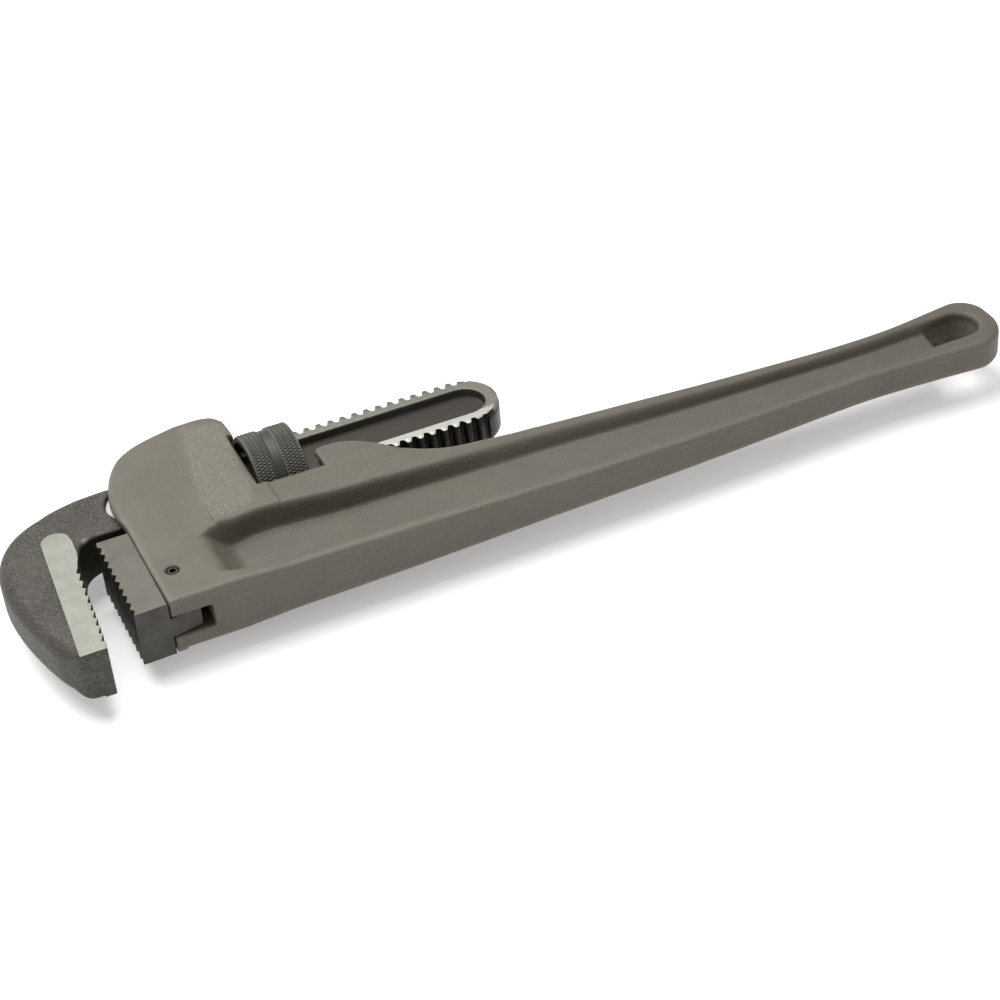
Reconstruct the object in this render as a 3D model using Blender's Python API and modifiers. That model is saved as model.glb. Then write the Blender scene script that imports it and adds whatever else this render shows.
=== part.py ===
"""A straight pipe wrench of the 450 mm class, lying on its side.

Drawing frame, in millimetres: X runs from the heel jaw's tooth plane to the handle's
tail, Y from the heel jaw's open end to the back of the hook jaw, and Z is the thickness,
with Z = 0 half way through. The drawing is moved as a whole so that the world origin is
the bottom centre of the wrench's box. Objects are in metres, +Z up.
"""

import math

import bmesh
import bpy
from mathutils import Matrix, Vector

MM = 0.001
COLLECTION = "pipe_wrench"
CUTTERS = "cutters"

# Overall box of the drawing.
HOOK_BACK_X = -41.1
TAIL_X = 403.1
NOSE_Y = -12.4
HOUSING_TOP_Y = 118.7

# Adjusting nut, and the thread that it shares with the hook jaw's shank.
AXIS_Y = 76.55
PITCH = 5.53
NUT_X0 = 71.9
NUT_X1 = 94.0
NUT_R = 20.8
NUT_BORE_R = 18.2
NUT_GROOVE_DEPTH = 0.9
NUT_CHAMFER = 1.3
CREST_Y = 16.15
ROOT_Y = 14.1
THREAD_GAP = 0.45
CREST_SHARE = 0.30
FIRST_CREST_X = 103.9

# Shank of the hook jaw.
SHANK_HALF = 7.4
SHANK_ROOT_X = -4.0
THREAD_X0 = 58.0
SHANK_END_X = 186.3
SHANK_END_R = 14.5
PANEL_LOW_Y = 67.4
PANEL_HIGH_Y = 86.6
PANEL_X0 = 48.0
PANEL_X1 = 180.2
PANEL_HALF = 4.8

# Hook jaw's head.
TOOTH_TIP_X = -10.9
TOOTH_TIP_Y = 37.3
TOOTH_LEAN = 0.068
TOOTH_CROWN = 0.0003
TOOTH_STEP = 5.07
TEETH_ABOVE = 3
TEETH_BELOW = 9
HOOK_HALF = 11.6
FORGING_HALF = 10.8
NECK_HALF = 9.6
FORGING_ROUND = 4.0

# Heel jaw.
HEEL_BACK_X = 13.3
HEEL_TOP_Y = 52.6
HEEL_HALF = 12.45
HEEL_TEETH = 10
HEEL_TIP_X = -0.7
HEEL_NOTCH_X = 0.85
HEEL_FIRST_Y = 4.6
TONGUE_X = 26.5
TONGUE_HALF = 4.6
TONGUE_TOP_Y = 38.0

# Handle casting.
SEAM_X = 13.8
GAP = 0.35
WINDOW_X0 = 71.0
WINDOW_X1 = 100.3
WINDOW_R = 21.75
WINDOW_TOP_Y = 99.2
CHANNEL_HALF = 7.95
MOUTH_HALF = 10.4
MOUTH_X = 24.5
SLOT_X = 30.6
WEB_HALF = 3.0
HOLE_X = 371.0
HOUSING_ROUND = 6.0
CROWN_ROUND = 3.6
RIM_ROUND = 2.5
SEAM_ROUND = 0.7

# Small parts.
PIN_X, PIN_Y = 21.7, 20.1
PIN_R, PIN_BORE_R, PIN_HALF = 2.4, 1.5, 12.0
ROCK_X, ROCK_Y = 68.0, 93.5
LEAF_HALF = 5.0
LEAF_THICK = 1.2
RIVET_X = 60.5
RIVET_R = 2.0
RIVET_LOW_Y, RIVET_SEAT_Y = 93.6, 116.0
COIL_X, COIL_LOW_Y, COIL_HIGH_Y = 34.0, 41.4, 59.9
COIL_R, COIL_WIRE_R, COIL_TURNS = 4.7, 0.7, 5.5

MID_X = (HOOK_BACK_X + TAIL_X) / 2
MID_Y = (NOSE_Y + HOUSING_TOP_Y) / 2


def to_world(x, y, z):
    """A point of the drawing, in metres, in the world."""
    return Vector((x - MID_X, y - MID_Y, z + NUT_R)) * MM


# Scene, materials and objects


def clear_scene():
    for obj in list(bpy.data.objects):
        bpy.data.objects.remove(obj)
    for collection in list(bpy.data.collections):
        bpy.data.collections.remove(collection)


def new_collection(name, hidden=False):
    collection = bpy.data.collections.new(name)
    collection.hide_render = hidden
    bpy.context.scene.collection.children.link(collection)
    return collection


def material(name, colour, metallic, roughness):
    made = bpy.data.materials.new(name)
    made.use_nodes = True
    shader = made.node_tree.nodes["Principled BSDF"]
    shader.inputs["Base Color"].default_value = (*colour, 1.0)
    shader.inputs["Metallic"].default_value = metallic
    shader.inputs["Roughness"].default_value = roughness
    return made


def add_object(name, bm, collection, origin=(0.0, 0.0, 0.0), finish=None):
    """Takes a bmesh drawn in millimetres and makes the object, with its origin at a point of the drawing."""
    bmesh.ops.translate(bm, verts=bm.verts, vec=-Vector(origin))
    bmesh.ops.scale(bm, verts=bm.verts, vec=(MM, MM, MM))
    bmesh.ops.recalc_face_normals(bm, faces=bm.faces)
    mesh = bpy.data.meshes.new(name)
    bm.to_mesh(mesh)
    bm.free()
    mesh.shade_smooth()
    mesh.set_sharp_from_angle(angle=math.radians(35))
    if finish:
        mesh.materials.append(finish)
    obj = bpy.data.objects.new(name, mesh)
    obj.location = to_world(*origin)
    collection.objects.link(obj)
    return obj


def boolean(obj, operation, other):
    modifier = obj.modifiers.new(f"{operation.lower()} {other.name}", "BOOLEAN")
    modifier.operation = operation
    modifier.solver = "EXACT"
    modifier.object = other


def helper(name, bm):
    """A cutter, or a shape that is joined to a part: never a part itself."""
    obj = add_object(name, bm, bpy.data.collections[CUTTERS])
    obj.hide_render = True
    obj.display_type = "WIRE"
    return obj


def cut(obj, name, bm):
    boolean(obj, "DIFFERENCE", helper(name, bm))


def join(obj, name, bm):
    boolean(obj, "UNION", helper(name, bm))


def round_rims(obj, width):
    """Rounds the edges that carry a bevel weight, to a weight's share of the width."""
    modifier = obj.modifiers.new("rounded rims", "BEVEL")
    modifier.limit_method = "WEIGHT"
    modifier.width = width * MM
    modifier.segments = 4
    modifier.use_clamp_overlap = False


# Outlines and solids, in millimetres


def arc(cx, cy, radius, start, end, steps):
    """Points along an arc, with its ends given in degrees."""
    angles = [math.radians(start + (end - start) * i / steps) for i in range(steps + 1)]
    return [(cx + radius * math.cos(a), cy + radius * math.sin(a)) for a in angles]


def flowing(points, per_span=3):
    """A smooth open line through the points: a Catmull-Rom curve."""
    pts = [Vector(p) for p in points]
    pts = [2 * pts[0] - pts[1], *pts, 2 * pts[-1] - pts[-2]]
    line = []
    for a, b, c, d in zip(pts, pts[1:], pts[2:], pts[3:]):
        linear, square, cube = c - a, 2 * a - 5 * b + 4 * c - d, 3 * b - a - 3 * c + d
        for i in range(per_span):
            t = i / per_span
            line.append(b + 0.5 * (linear * t + square * t**2 + cube * t**3))
    line.append(pts[-2])
    return [(p.x, p.y) for p in line]


def ramp(value, low, high):
    """0 below low, 1 above high, and a straight line between."""
    return min(1.0, max(0.0, (value - low) / (high - low)))


def between(value, table):
    """Reads a table of (position, size) pairs in straight lines."""
    for (x0, s0), (x1, s1) in zip(table, table[1:]):
        if value <= x1:
            return s0 + (s1 - s0) * ramp(value, x0, x1)
    return table[-1][1]


def prism(outline, low, high):
    """A flat outline in X and Y, extruded from one height to another."""
    bm = bmesh.new()
    face = bm.faces.new([bm.verts.new((x, y, low)) for x, y in outline])
    extruded = bmesh.ops.extrude_face_region(bm, geom=[face])["geom"]
    moved = [v for v in extruded if isinstance(v, bmesh.types.BMVert)]
    bmesh.ops.translate(bm, verts=moved, vec=(0, 0, high - low))
    return bm


def box(low, high):
    bm = bmesh.new()
    size = Vector(high) - Vector(low)
    middle = (Vector(high) + Vector(low)) / 2
    bmesh.ops.create_cube(bm, size=1, matrix=Matrix.Translation(middle) @ Matrix.Diagonal((*size, 1)))
    return bm


def rod(start, end, radius, sides=24):
    """A closed cylinder between two points of the drawing."""
    bm = bmesh.new()
    a, b = Vector(start), Vector(end)
    turn = (b - a).to_track_quat("Z", "Y").to_matrix().to_4x4()
    bmesh.ops.create_cone(
        bm,
        cap_ends=True,
        segments=sides,
        radius1=radius,
        radius2=radius,
        depth=(b - a).length,
        matrix=Matrix.Translation((a + b) / 2) @ turn,
    )
    return bm


def turned(profile, centre, axis, start, steps, closed=True):
    """A solid of revolution from (along, radius) points: a loop, or a line with both ends on the axis."""
    bm = bmesh.new()
    along, out = Vector(axis), Vector(start)
    verts = [bm.verts.new(Vector(centre) + along * a + out * r) for a, r in profile]
    following = verts[1:] + verts[:1] if closed else verts[1:]
    edges = [bm.edges.new(pair) for pair in zip(verts, following)]
    bmesh.ops.spin(
        bm,
        geom=verts + edges,
        cent=centre,
        axis=axis,
        angle=2 * math.pi,
        steps=steps,
        use_merge=True,
    )
    bmesh.ops.remove_doubles(bm, verts=bm.verts, dist=1e-4)
    return bm


def sections(rows):
    """A closed solid through equal rings of points, with a flat cap at each end."""
    bm = bmesh.new()
    rings = [[bm.verts.new(p) for p in row] for row in rows]
    for ring, following in zip(rings, rings[1:]):
        for i in range(len(ring)):
            j = (i + 1) % len(ring)
            bm.faces.new((ring[i], ring[j], following[j], following[i]))
    bm.faces.new(rings[0])
    bm.faces.new(rings[-1])
    return bm


def slice_at(bm, positions, axis):
    """Adds edges where planes across the axis meet the faces."""
    for position in positions:
        geom = list(bm.verts) + list(bm.edges) + list(bm.faces)
        bmesh.ops.bisect_plane(bm, geom=geom, dist=0.4, plane_co=Vector(axis) * position, plane_no=axis)


def shape_sides(bm, half_thickness):
    """Gives both sides of a prism their own height at each point."""
    for v in bm.verts:
        v.co.z = math.copysign(half_thickness(v.co.x, v.co.y), v.co.z)


def weigh_rims(bm, radius_at, widest):
    """Stores the rounding of each edge between a side and the wall around it."""
    bm.normal_update()
    layer = bm.edges.layers.float.new("bevel_weight_edge")
    for edge in bm.edges:
        tilts = sorted(abs(face.normal.z) for face in edge.link_faces)
        if tilts[0] < 0.4 and tilts[1] > 0.6:
            middle = (edge.verts[0].co + edge.verts[1].co) / 2
            edge[layer] = radius_at(middle.x, middle.y) / widest


# Handle casting


def tail_end():
    radius = 19.2
    return arc(TAIL_X - radius, 20.7, radius, -78, 80, 14)


def handle_outline():
    """The casting from the seam along its bottom edge, round the tail and back over the housing."""
    bottom = [(SEAM_X, 0.6), (66, 0.3), (130, 0.1), (200, 0.4)]
    bottom += [(260, 1.5), (300, 3.2), (330, 4.2), (352, 3.4)]
    top = [(356, 36.0), (330, 34.6), (300, 36.0), (260, 38.2), (200, 42.6), (168, 45.1), (154, 46.6)]
    hump = [(145, 49.4), (135.4, 55.0), (127.7, 63.0), (120, 69.3), (112.5, 72.4), (105.5, 73.0)]
    nose = [(13.0, 75), (13.8, 82), (15.8, 90), (19.1, 97.6), (24.3, 105.6), (32, 111.5), (42, 115.1)]
    crown = [(54, 117.8), (63, 118.6), (69.6, 117.2), (73.4, 113.2), (73.8, 107), (72.8, 100)]
    line = flowing(bottom) + tail_end() + flowing(top + hump)
    line += arc(WINDOW_X1 + 4.2, 68.4, 4.4, 110, 170, 4)
    line += [(WINDOW_X1 - 1.5, 61), (WINDOW_X0 + 1.8, 61)]
    line += list(reversed(flowing(nose + crown)))
    return line + [(13.2, 62), (SEAM_X, 54)]


def handle_half(x, y):
    """Half the casting's thickness: full at the housing, and thin towards the tail."""
    front = [(0, 12.65), (42, 12.5), (66, 11.2), (118, 10.2)]
    grip = [(180, 8.5), (260, 7.35), (330, 6.7), (370, 6.8), (400, 7.2)]
    low = between(x, front + grip)
    high = between(x, [(0, 14.6), (48, 14.6), (WINDOW_X0, 12.0), (112, 11.2), (150, 9.6), (180, 8.6)])
    share = ramp(y, 22, 62) if x < 180 else 0.0
    return low + (max(high, low) - low) * share


def handle_rounding(x, y):
    if x < SEAM_X + 0.5 and y < 56:
        return SEAM_ROUND
    if y > 59 and x < WINDOW_X0 - 0.5 or y > WINDOW_TOP_Y:
        return between(x, [(0, HOUSING_ROUND), (54, HOUSING_ROUND), (64, CROWN_ROUND)])
    if x < WINDOW_X1 + 0.5 and y > 56:
        return 0.0
    return RIM_ROUND


def pocket_outline():
    """Rim of the hollow between the two flanges, on each side of the handle."""
    low = [(38, 13.5), (42.5, 9.2), (51, 7.4), (79, 6.2), (121, 6.0)]
    low += [(183, 7.2), (250, 8.4), (330, 10.4), (362, 9.6)]
    high = [(365, 27.3), (330, 27.0), (260, 30.4), (196, 35.2)]
    high += [(141, 39.6), (98, 41.0), (63, 40.6), (46, 37.0)]
    end = arc(382.6, 19.4, 10.0, -80, 80, 8)
    return flowing(low) + end + flowing(high) + [(39.4, 33.0), (37.2, 27.0), (36.6, 20.0)]


def pocket():
    """The hollow beside the web, which runs out to nothing towards the head."""
    bm = prism(pocket_outline(), WEB_HALF, 20.0)
    slice_at(bm, (45, 54, 63), (1, 0, 0))
    for v in bm.verts:
        if v.co.z < 10:
            v.co.z = 12.9 - (12.9 - WEB_HALF) * math.sin(math.pi / 2 * ramp(v.co.x, 36.6, 63)) ** 1.5
    mirrored = bm.copy()
    bmesh.ops.scale(mirrored, verts=mirrored.verts, vec=(1, 1, -1))
    mesh = bpy.data.meshes.new("pocket half")
    mirrored.to_mesh(mesh)
    mirrored.free()
    bm.from_mesh(mesh)
    bpy.data.meshes.remove(mesh)
    return bm


def hang_hole():
    outline = [(HOLE_X, 10.8), (380, 10.6)] + arc(383.0, 19.5, 9.0, -75, 80, 8) + [(HOLE_X, 27.5)]
    return prism(outline, -15, 15)


def channel():
    """Room for the shank, the leaf spring above it and the jaw's rocking."""
    floor = [(8, 57.2), (ROCK_X, 59.7), (150, 57.5)]
    roof = [(150, 94.0), (ROCK_X - 1.0, 94.0), (ROCK_X - 1.0, 97.6), (MOUTH_X, 98.8), (8, 98.8)]
    return prism(floor + roof, -CHANNEL_HALF, CHANNEL_HALF)


def mouth():
    return prism([(8, 56.4), (MOUTH_X, 57.2), (MOUTH_X, 96.6), (8, 97.2)], -MOUTH_HALF, MOUTH_HALF)


def window():
    """The nut's window, with a floor that is round about the nut's axis."""
    bm = bmesh.new()
    around = arc(AXIS_Y, 0, WINDOW_R, 90, 270, 20) + [(WINDOW_TOP_Y, -WINDOW_R), (WINDOW_TOP_Y, WINDOW_R)]
    face = bm.faces.new([bm.verts.new((WINDOW_X0, y, z)) for y, z in around])
    extruded = bmesh.ops.extrude_face_region(bm, geom=[face])["geom"]
    moved = [v for v in extruded if isinstance(v, bmesh.types.BMVert)]
    bmesh.ops.translate(bm, verts=moved, vec=(WINDOW_X1 - WINDOW_X0, 0, 0))
    return bm


def make_handle(collection, finish):
    bm = prism(handle_outline(), -1, 1)
    slice_at(bm, (20, 32, 42, 48, 60, 66, 90, 112, 118, 150, 180, 220, 260, 300, 330, 370), (1, 0, 0))
    slice_at(bm, (22, 42, 62, 90), (0, 1, 0))
    shape_sides(bm, handle_half)
    weigh_rims(bm, handle_rounding, HOUSING_ROUND)
    handle = add_object("handle_casting", bm, collection, finish=finish)
    round_rims(handle, HOUSING_ROUND)
    cut(handle, "cut_web_pockets", pocket())
    cut(handle, "cut_hang_hole", hang_hole())
    cut(handle, "cut_shank_channel", channel())
    cut(handle, "cut_mouth", mouth())
    cut(handle, "cut_window", window())
    slot_half = TONGUE_HALF + GAP
    cut(handle, "cut_tongue_slot", box((5, -5, -slot_half), (SLOT_X, TONGUE_TOP_Y + 0.5, slot_half)))
    cut(handle, "cut_pin_hole", rod((PIN_X, PIN_Y, -20), (PIN_X, PIN_Y, 20), PIN_R + GAP))
    cut(handle, "cut_coil_pocket", rod((COIL_X, COIL_LOW_Y - 0.4, 0), (COIL_X, 66, 0), 6.4))
    cut(handle, "cut_rivet_hole", rod((RIVET_X, 90, 0), (RIVET_X, 130, 0), RIVET_R + GAP))
    cut(handle, "cut_rivet_seat", rod((RIVET_X, RIVET_SEAT_Y, 0), (RIVET_X, 130, 0), 4.5))
    return handle


# Heel jaw


def heel_outline():
    line = [(HEEL_BACK_X, 0.0), (HEEL_BACK_X, HEEL_TOP_Y), (-0.2, HEEL_TOP_Y)]
    for i in reversed(range(HEEL_TEETH)):
        tip_y = HEEL_FIRST_Y + 5.0 * i
        line += [(HEEL_TIP_X, tip_y), (HEEL_NOTCH_X, tip_y - 1.65)]
    return line + [(HEEL_TIP_X, 0.0)]


def make_heel_jaw(collection, finish):
    jaw = add_object("heel_jaw", prism(heel_outline(), -HEEL_HALF, HEEL_HALF), collection, finish=finish)
    root_x = HEEL_BACK_X - 2
    tongue = [(root_x, 0.4), (TONGUE_X, 3.0), (TONGUE_X, TONGUE_TOP_Y), (root_x, TONGUE_TOP_Y)]
    join(jaw, "join_tongue", prism(tongue, -TONGUE_HALF, TONGUE_HALF))
    cut(jaw, "cut_tongue_hole", rod((PIN_X, PIN_Y, -20), (PIN_X, PIN_Y, 20), PIN_R + GAP))
    return jaw


def make_heel_pin(collection, finish):
    chamfer = 0.5
    profile = [
        (-PIN_HALF, PIN_BORE_R),
        (PIN_HALF, PIN_BORE_R),
        (PIN_HALF, PIN_R - chamfer),
        (PIN_HALF - chamfer, PIN_R),
        (chamfer - PIN_HALF, PIN_R),
        (-PIN_HALF, PIN_R - chamfer),
    ]
    bm = turned(profile, (PIN_X, PIN_Y, 0), (0, 0, 1), (1, 0, 0), 20)
    return add_object("heel_jaw_pin", bm, collection, (PIN_X, PIN_Y, 0), finish)


# Hook jaw


def tooth_line(y, depth=0.0):
    """X of the slightly crowned line through the tooth tips, or of a line behind it."""
    crown = TOOTH_CROWN * (y - TOOTH_TIP_Y / 2) ** 2
    return TOOTH_TIP_X - TOOTH_LEAN * (TOOTH_TIP_Y - y) - crown - depth


def forging_outline():
    """The hook and its neck, without teeth, from the nose up the back and round to the throat."""
    back = [(-22.0, NOSE_Y), (-26.4, -10.6), (-30.4, -5), (-33.5, 2), (-36.8, 14), (-39.3, 26), (-40.8, 38)]
    crown = [(HOOK_BACK_X, 48), (-40.0, 58.5), (-36.7, 68), (-31.3, 76)]
    crown += [(-23.6, 82.4), (-14, 87.4), (-3, 90.6)]
    neck = [(8, 92.1), (17, 92.5)]
    seat = list(reversed(arc(25.3, AXIS_Y, 14.5, 125, 235, 10)))
    throat = [(17, 60.6), (8, 61.0), (1.5, 60.9), (-3.0, 59.2), (-6.2, 56.0), (-7.9, 51.5)]
    behind = [(tooth_line(40, 2.6), 40), (tooth_line(NOSE_Y, 2.6), NOSE_Y)]
    return flowing(back + crown + neck) + list(reversed(seat)) + flowing(throat) + behind


def forging_half(x, y):
    return FORGING_HALF - (FORGING_HALF - NECK_HALF) * ramp(x, -14, 6)


def forging_rounding(x, y):
    on_back = y > NOSE_Y + 5 and x < 2 and (x < -24 or y > 70)
    return FORGING_ROUND if on_back else 0.0


def tooth_bar_outline():
    """The ground bar that carries the teeth, with a rounded top."""
    line = arc(-14.3, 62.6, 6.1, 0, 176, 10) + [(-25.8, NOSE_Y), (tooth_line(NOSE_Y, 0.3), NOSE_Y)]
    for i in range(-TEETH_BELOW, TEETH_ABOVE + 1):
        tip_y = TOOTH_TIP_Y + TOOTH_STEP * i
        notch_y = tip_y - 3.85
        if notch_y > NOSE_Y:
            line.append((tooth_line(notch_y, 1.35), notch_y))
        line.append((tooth_line(tip_y), tip_y))
    return line + [(tooth_line(56), 56)]


def shank_row(x, upper, lower, lead):
    """The shank's four corners, with each one moved along X by its share of the lead."""
    row = []
    for side, half_width in ((1, upper), (-1, lower)):
        for z in (side * SHANK_HALF, -side * SHANK_HALF):
            angle = math.atan2(side * z, half_width)
            row.append((x + lead * angle / (2 * math.pi), AXIS_Y + side * half_width, z))
    return row


def threaded_shank():
    """The flat shank, plain near the neck, with one helical thread cut in its two edges."""
    rows = [shank_row(x, CREST_Y, CREST_Y, 0) for x in (SHANK_ROOT_X, THREAD_X0)]
    turn = math.ceil((THREAD_X0 - FIRST_CREST_X) / PITCH + 0.5)
    while FIRST_CREST_X + PITCH * turn < SHANK_END_X + 2:
        crest_x = FIRST_CREST_X + PITCH * turn
        half_crest = PITCH * CREST_SHARE / 2
        half_root = PITCH / 2 - half_crest
        rows.append(shank_row(crest_x - half_root, ROOT_Y, CREST_Y, PITCH))
        rows.append(shank_row(crest_x - half_crest, CREST_Y, ROOT_Y, PITCH))
        rows.append(shank_row(crest_x + half_crest, CREST_Y, ROOT_Y, PITCH))
        rows.append(shank_row(crest_x + half_root, ROOT_Y, CREST_Y, PITCH))
        turn += 1
    return sections(rows)


def shank_limit():
    """Everything up to the shank's end, which has two round corners."""
    reach = SHANK_END_X - SHANK_END_R
    low, high = AXIS_Y - CREST_Y - 0.6, AXIS_Y + CREST_Y + 0.6
    ends = arc(reach, low + SHANK_END_R, SHANK_END_R, -90, 0, 8)
    ends += arc(reach, high - SHANK_END_R, SHANK_END_R, 0, 90, 8)
    return prism([(-60, -40), (reach, -40)] + ends + [(reach, 140), (-60, 140)], -30, 30)


def shank_panels():
    """The sunk panel on each side of the shank."""
    radius = (PANEL_HIGH_Y - PANEL_LOW_Y) / 2
    middle = (PANEL_HIGH_Y + PANEL_LOW_Y) / 2
    return arc(PANEL_X1 - radius, middle, radius, -90, 90, 12) + arc(PANEL_X0 + 4, middle, radius, 90, 270, 8)


def make_hook_jaw(collection, finish):
    bm = prism(forging_outline(), -1, 1)
    slice_at(bm, (-14, -8, 0, 6), (1, 0, 0))
    shape_sides(bm, forging_half)
    weigh_rims(bm, forging_rounding, FORGING_ROUND)
    jaw = add_object("hook_jaw", bm, collection, (ROCK_X, AXIS_Y, 0), finish)
    round_rims(jaw, FORGING_ROUND)
    join(jaw, "join_shank", threaded_shank())
    join(jaw, "join_tooth_bar", prism(tooth_bar_outline(), -HOOK_HALF, HOOK_HALF))
    boolean(jaw, "INTERSECT", helper("keep_shank_limit", shank_limit()))
    cut(jaw, "cut_near_panel", prism(shank_panels(), PANEL_HALF, 20))
    cut(jaw, "cut_far_panel", prism(shank_panels(), -20, -PANEL_HALF))
    return jaw


# Adjusting nut


def nut_profile():
    """(along, radius) round the nut's wall: chamfered ends, two bands for the knurl and a plain groove."""
    groove_x0 = NUT_X0 + 8.4
    groove_x1 = groove_x0 + 4.5
    low = NUT_R - NUT_GROOVE_DEPTH
    points = [
        (NUT_X0, NUT_BORE_R),
        (NUT_X0, NUT_R - NUT_CHAMFER),
        (NUT_X0 + NUT_CHAMFER, NUT_R),
        (groove_x0, NUT_R),
        (groove_x0 + 0.4, low),
        (groove_x1, low),
        (groove_x1 + 0.3, NUT_R),
        (NUT_X1 - 0.6, NUT_R),
        (NUT_X1, NUT_R - 0.6),
        (NUT_X1, NUT_BORE_R),
    ]
    return [(x - NUT_X0, r) for x, r in points]


def thread_ridge():
    """The nut's own thread: a helical ridge that runs in the shank's grooves with a little play."""
    steps = 32
    trough = FIRST_CREST_X + PITCH / 2
    crest_r, root_r = math.hypot(CREST_Y, SHANK_HALF), math.hypot(ROOT_Y, SHANK_HALF)
    tip_r, base_r = root_r + THREAD_GAP, NUT_BORE_R + 0.3
    flank = PITCH * (0.5 - CREST_SHARE)
    tip_half = PITCH * CREST_SHARE / 2 - THREAD_GAP / 2
    slope = flank / (crest_r - root_r)
    base_half = tip_half + slope * (base_r - tip_r)
    reach = base_half + 0.15
    first = math.ceil((NUT_X0 + reach - trough) / PITCH * steps)
    last = math.floor((NUT_X1 - reach - trough) / PITCH * steps)
    rows = []
    for i in range(first, last + 1):
        angle = 2 * math.pi * i / steps
        x = trough + PITCH * i / steps
        corners = ((-tip_half, tip_r), (tip_half, tip_r), (base_half, base_r), (-base_half, base_r))
        rows.append([(x + d, AXIS_Y + r * math.cos(angle), r * math.sin(angle)) for d, r in corners])
    return sections(rows)


def make_nut(collection, finish):
    middle = ((NUT_X0 + NUT_X1) / 2, AXIS_Y, 0)
    bm = turned(nut_profile(), (NUT_X0, AXIS_Y, 0), (1, 0, 0), (0, 1, 0), 48)
    nut = add_object("adjusting_nut", bm, collection, middle, finish)
    join(nut, "join_thread_ridge", thread_ridge())
    return nut


# Springs and rivet


def leaf_line():
    """Lower face of the leaf spring, from its riveted end to its curled front end."""
    return flowing([(65.6, 95.7), (57, 95.7), (50, 94.9), (41, 93.5), (33, 93.6), (27, 94.7), (23, 96.0)])


def make_leaf_spring(collection, finish):
    low = leaf_line()
    high = [(x, y + LEAF_THICK) for x, y in low]
    bm = prism(low + list(reversed(high)), -LEAF_HALF, LEAF_HALF)
    leaf = add_object("flat_spring", bm, collection, (ROCK_X, ROCK_Y, 0), finish)
    cut(leaf, "cut_leaf_hole", rod((RIVET_X, 90, 0), (RIVET_X, 105, 0), RIVET_R + 0.6))
    return leaf


def make_rivet(collection, finish):
    """A rivet through the housing's roof, with a head under the leaf and a domed one sunk in its top."""
    inner, outer = RIVET_LOW_Y, RIVET_SEAT_Y + GAP
    profile = [(inner, 0), (inner, 3.3), (inner + 1.2, 3.3), (inner + 1.2, RIVET_R), (outer, RIVET_R)]
    profile += [(outer, 3.8), (outer + 1.0, 3.4), (outer + 1.6, 2.2), (outer + 1.8, 0)]
    bm = turned(profile, (RIVET_X, 0, 0), (0, 1, 0), (1, 0, 0), 20, closed=False)
    return add_object("flat_spring_rivet", bm, collection, (RIVET_X, inner, 0), finish)


def make_coil_spring(collection, finish):
    curve = bpy.data.curves.new("coil_spring", "CURVE")
    curve.dimensions = "3D"
    curve.bevel_depth = COIL_WIRE_R * MM
    curve.bevel_resolution = 2
    curve.use_fill_caps = True
    per_turn = 14
    count = int(COIL_TURNS * per_turn) + 1
    spline = curve.splines.new("POLY")
    spline.points.add(count - 1)
    low, high = COIL_LOW_Y + COIL_WIRE_R, COIL_HIGH_Y - COIL_WIRE_R
    for i, point in enumerate(spline.points):
        turn = i / per_turn
        # The end turns lie closed, and the turns between them are open.
        share = ramp(turn, 0.8, COIL_TURNS - 0.8)
        closed = 2.2 * COIL_WIRE_R * (min(turn, 0.8) + max(0.0, turn - COIL_TURNS + 0.8))
        y = low + closed + (high - low - 2.2 * COIL_WIRE_R * 1.6) * share
        angle = 2 * math.pi * turn
        point.co = (COIL_R * math.cos(angle) * MM, (y - low) * MM, COIL_R * math.sin(angle) * MM, 1)
    spring = bpy.data.objects.new("coil_spring", curve)
    spring.location = to_world(COIL_X, low, 0)
    curve.materials.append(finish)
    collection.objects.link(spring)
    return spring


def main():
    clear_scene()
    parts = new_collection(COLLECTION)
    new_collection(CUTTERS, hidden=True)
    cast = material("cast_aluminium", (0.22, 0.205, 0.175), 0.55, 0.55)
    forged = material("forged_steel", (0.085, 0.08, 0.07), 0.6, 0.5)
    ground = material("ground_steel", (0.26, 0.245, 0.22), 0.9, 0.38)
    blackened = material("blackened_steel", (0.075, 0.07, 0.062), 0.8, 0.4)
    spring = material("spring_steel", (0.16, 0.16, 0.16), 1.0, 0.35)
    make_handle(parts, cast)
    make_heel_jaw(parts, ground)
    make_heel_pin(parts, blackened)
    make_hook_jaw(parts, forged)
    make_nut(parts, blackened)
    make_leaf_spring(parts, spring)
    make_rivet(parts, ground)
    make_coil_spring(parts, spring)


main()
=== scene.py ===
"""The looks of the pipe wrench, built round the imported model.

Lengths are in millimetres in the wrench's drawing frame: X from the heel jaw's tooth
plane to the handle's tail, Y from the heel jaw's open end to the back of the hook jaw,
Z through the thickness with 0 half way. place() turns them into the frame's metres.
The cast and forged pieces are distance fields, which give the soft fillets that
castings have, meshed on a fine grid.
"""

import math

import bmesh
import bpy
import numpy as np
from mathutils import Euler, Matrix, Vector


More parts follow.
